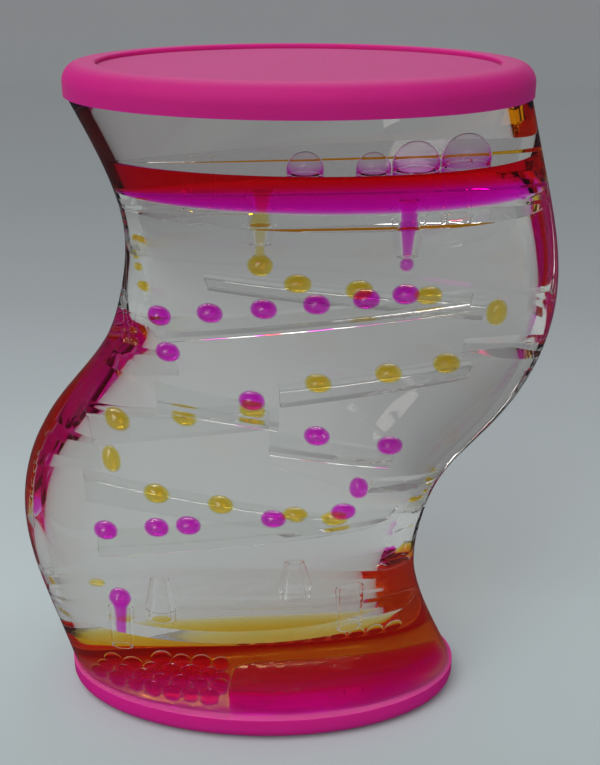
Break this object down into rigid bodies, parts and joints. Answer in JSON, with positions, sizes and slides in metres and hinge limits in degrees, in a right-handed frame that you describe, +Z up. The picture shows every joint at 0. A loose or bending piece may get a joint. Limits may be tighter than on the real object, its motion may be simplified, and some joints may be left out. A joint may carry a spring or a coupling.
{
  "type": "liquid motion timer",
  "caption": "Reversible S-shaped clear liquid timer with oval pink end caps, where magenta and yellow drops fall from nozzles and roll down zigzag ramps through oil.",
  "frame": {"origin": "middle of the base that the object stands on", "axes": "+X along the wide side, +Y from the front to the rear face, +Z up"},
  "size_m": [0.1112, 0.0484, 0.14],
  "materials": {
    "clear_acrylic": "gloss",
    "clear_fittings": "gloss",
    "pink_moulding": "matte",
    "magenta_liquid": "gloss",
    "yellow_liquid": "gloss",
    "clear_oil": "gloss",
    "plug": "matte"
  },
  "bodies": {
    "root": {"bottom_cap": "pink_moulding", "bottom_end_plate": "clear_acrylic", "divider_plate": "clear_acrylic", "fill_plugs": "plug", "front_ledge_1": "clear_fittings", "front_ledge_2": "clear_fittings", "front_ramp_1": "clear_fittings", "front_ramp_2": "clear_fittings", "front_ramp_3": "clear_fittings", "front_ramp_4": "clear_fittings", "front_shell": "clear_acrylic", "lower_front_deck": "clear_fittings", "lower_front_nozzle": "clear_fittings", "lower_front_standpipe": "clear_fittings", "lower_magenta_pool": "magenta_liquid", "lower_rear_deck": "clear_fittings", "lower_rear_nozzle": "clear_fittings", "lower_rear_standpipe": "clear_fittings", "lower_yellow_pool": "yellow_liquid", "magenta_bead_pile": "magenta_liquid", "oil_bubbles": "clear_oil", "rear_ledge_1": "clear_fittings", "rear_ledge_2": "clear_fittings", "rear_ramp_1": "clear_fittings", "rear_ramp_2": "clear_fittings", "rear_ramp_3": "clear_fittings", "rear_ramp_4": "clear_fittings", "rear_shell": "clear_acrylic", "top_cap": "pink_moulding", "top_end_plate": "clear_acrylic", "upper_front_deck": "clear_fittings", "upper_front_nozzle": "clear_fittings", "upper_front_standpipe": "clear_fittings", "upper_magenta_pool": "magenta_liquid", "upper_rear_deck": "clear_fittings", "upper_rear_nozzle": "clear_fittings", "upper_rear_standpipe": "clear_fittings", "upper_yellow_pool": "yellow_liquid", "yellow_bead_deck": "yellow_liquid", "yellow_bead_raft": "yellow_liquid"},
    "magenta_run_1": {"magenta_beads_ramp_1": "magenta_liquid"},
    "magenta_run_2": {"magenta_beads_ramp_2": "magenta_liquid"},
    "magenta_run_3": {"magenta_beads_ramp_3": "magenta_liquid"},
    "magenta_run_4": {"magenta_beads_ramp_4": "magenta_liquid"},
    "magenta_ledge_drop": {"magenta_bead_ledge_1": "magenta_liquid"},
    "magenta_falling_drop": {"magenta_bead_ledge_2": "magenta_liquid"},
    "magenta_standpipe_drop": {"magenta_bead_standpipe": "magenta_liquid"},
    "magenta_nozzle_drop": {"magenta_drip": "magenta_liquid"},
    "yellow_run_1": {"yellow_beads_ramp_1": "yellow_liquid"},
    "yellow_run_2": {"yellow_beads_ramp_2": "yellow_liquid"},
    "yellow_run_3": {"yellow_beads_ramp_3": "yellow_liquid"},
    "yellow_run_4": {"yellow_beads_ramp_4": "yellow_liquid"},
    "yellow_falling_drop_1": {"yellow_bead_ledge_1": "yellow_liquid"},
    "yellow_falling_drop_2": {"yellow_bead_ledge_2": "yellow_liquid"},
    "yellow_nozzle_drop": {"yellow_drip": "yellow_liquid"}
  },
  "joints": [
    {"name": "magenta_run_1_slide", "type": "slide", "parent": "root", "child": "magenta_run_1", "axis": [-0.991, 0, -0.1338], "range_m": [-0.005, 0.0015]},
    {"name": "magenta_run_2_slide", "type": "slide", "parent": "root", "child": "magenta_run_2", "axis": [0.9929, 0, -0.1191], "range_m": [-0.012, 0.003]},
    {"name": "magenta_run_3_slide", "type": "slide", "parent": "root", "child": "magenta_run_3", "axis": [0.9929, 0, -0.1191], "range_m": [-0.0035, 0.002]},
    {"name": "magenta_run_4_slide", "type": "slide", "parent": "root", "child": "magenta_run_4", "axis": [-0.991, 0, -0.1338], "range_m": [-0.005, 0.002]},
    {"name": "magenta_ledge_drop_slide", "type": "slide", "parent": "root", "child": "magenta_ledge_drop", "axis": [0.9974, 0, -0.0725], "range_m": [-0.004, 0.0015]},
    {"name": "magenta_falling_drop_slide", "type": "slide", "parent": "root", "child": "magenta_falling_drop", "axis": [0, 0, -1], "range_m": [-0.0024, 0.0003]},
    {"name": "magenta_standpipe_drop_slide", "type": "slide", "parent": "root", "child": "magenta_standpipe_drop", "axis": [0, 0, -1], "range_m": [-0.008, 0]},
    {"name": "magenta_nozzle_drop_slide", "type": "slide", "parent": "root", "child": "magenta_nozzle_drop", "axis": [0, 0, -1], "range_m": [0, 0.0022]},
    {"name": "yellow_run_1_slide", "type": "slide", "parent": "root", "child": "yellow_run_1", "axis": [0.9939, 0, -0.1099], "range_m": [-0.0015, 0.005]},
    {"name": "yellow_run_2_slide", "type": "slide", "parent": "root", "child": "yellow_run_2", "axis": [-0.9771, 0, -0.2129], "range_m": [0, 0.005]},
    {"name": "yellow_run_3_slide", "type": "slide", "parent": "root", "child": "yellow_run_3", "axis": [-0.9771, 0, -0.2129], "range_m": [-0.002, 0.004]},
    {"name": "yellow_run_4_slide", "type": "slide", "parent": "root", "child": "yellow_run_4", "axis": [0.9939, 0, -0.1099], "range_m": [-0.005, 0.002]},
    {"name": "yellow_falling_drop_1_slide", "type": "slide", "parent": "root", "child": "yellow_falling_drop_1", "axis": [0, 0, -1], "range_m": [-0.001, 0.0034]},
    {"name": "yellow_falling_drop_2_slide", "type": "slide", "parent": "root", "child": "yellow_falling_drop_2", "axis": [0, 0, -1], "range_m": [-0.0006, 0.0045]},
    {"name": "yellow_nozzle_drop_slide", "type": "slide", "parent": "root", "child": "yellow_nozzle_drop", "axis": [0, 0, -1], "range_m": [0, 0.0024]}
  ]
}
